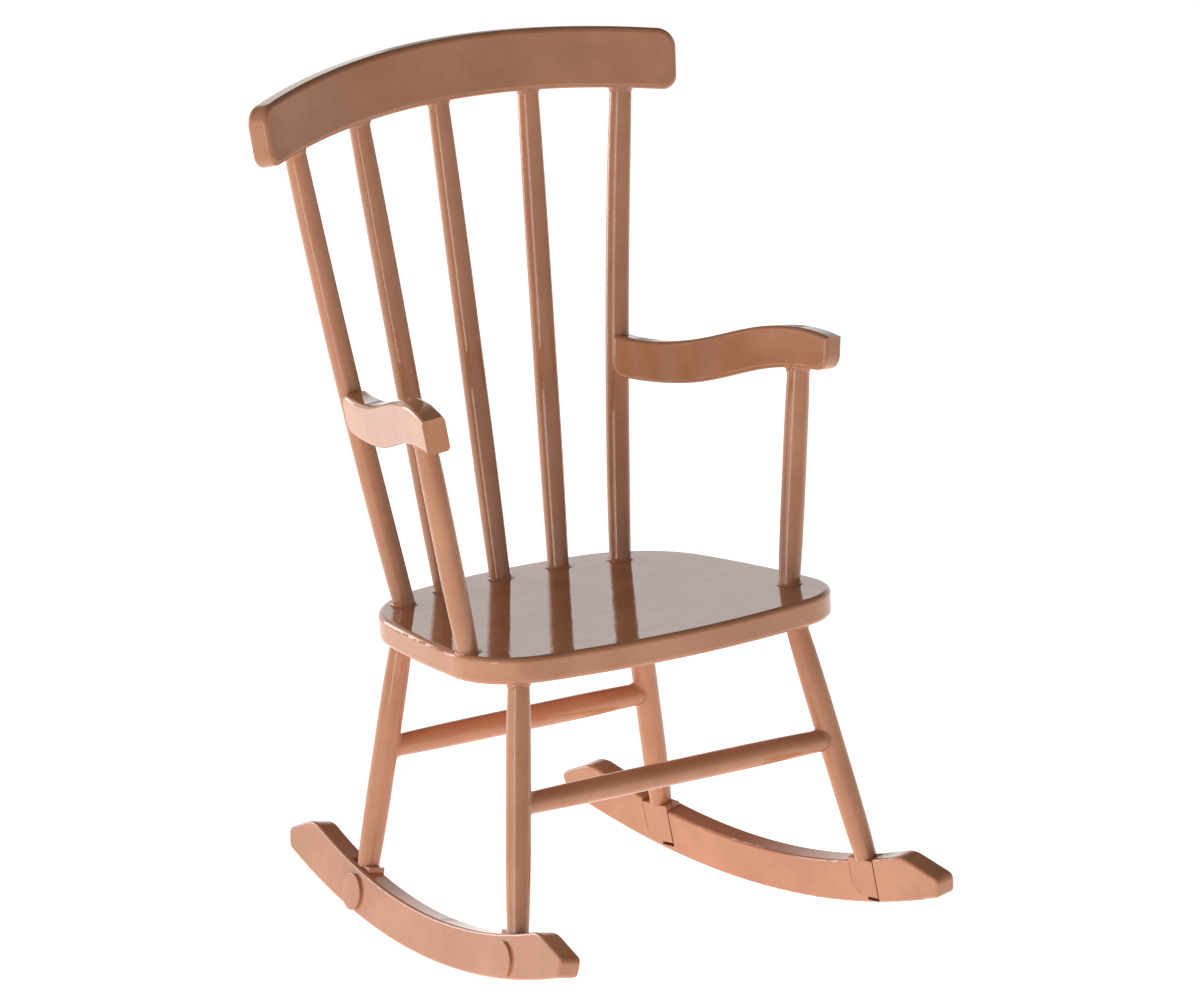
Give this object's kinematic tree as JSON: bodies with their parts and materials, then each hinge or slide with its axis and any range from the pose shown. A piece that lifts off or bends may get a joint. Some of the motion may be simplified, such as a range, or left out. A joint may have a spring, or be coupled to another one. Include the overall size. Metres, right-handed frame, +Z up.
{
  "type": "miniature rocking chair",
  "caption": "Miniature rocking chair with a curved crest rail over a spindle back, scrolled arms and splayed legs on curved rockers.",
  "frame": {"origin": "on the floor, under the middle of the chair's box", "axes": "+Z up, -Y the way the chair faces, +X to the viewer's right when the chair faces the viewer; the pieces mirror across X, but the seat's board sits 1.5 mm towards +X"},
  "size_m": [0.0662, 0.0794, 0.1103],
  "materials": {
    "painted_metal": "glossy dusty terracotta enamel"
  },
  "bodies": {
    "root": {"seat": "painted_metal", "crest_rail": "painted_metal", "back_spindle_left": "painted_metal", "back_spindle_centre": "painted_metal", "back_spindle_right": "painted_metal", "outer_back_post_left": "painted_metal", "outer_back_post_right": "painted_metal", "arm_left": "painted_metal", "arm_right": "painted_metal", "arm_post_left": "painted_metal", "arm_post_right": "painted_metal", "front_leg_left": "painted_metal", "front_leg_right": "painted_metal", "rear_leg_left": "painted_metal", "rear_leg_right": "painted_metal", "front_stretcher": "painted_metal", "rear_stretcher": "painted_metal", "rocker_left": "painted_metal", "rocker_right": "painted_metal", "rocker_rivets": "painted_metal"}
  },
  "joints": []
}
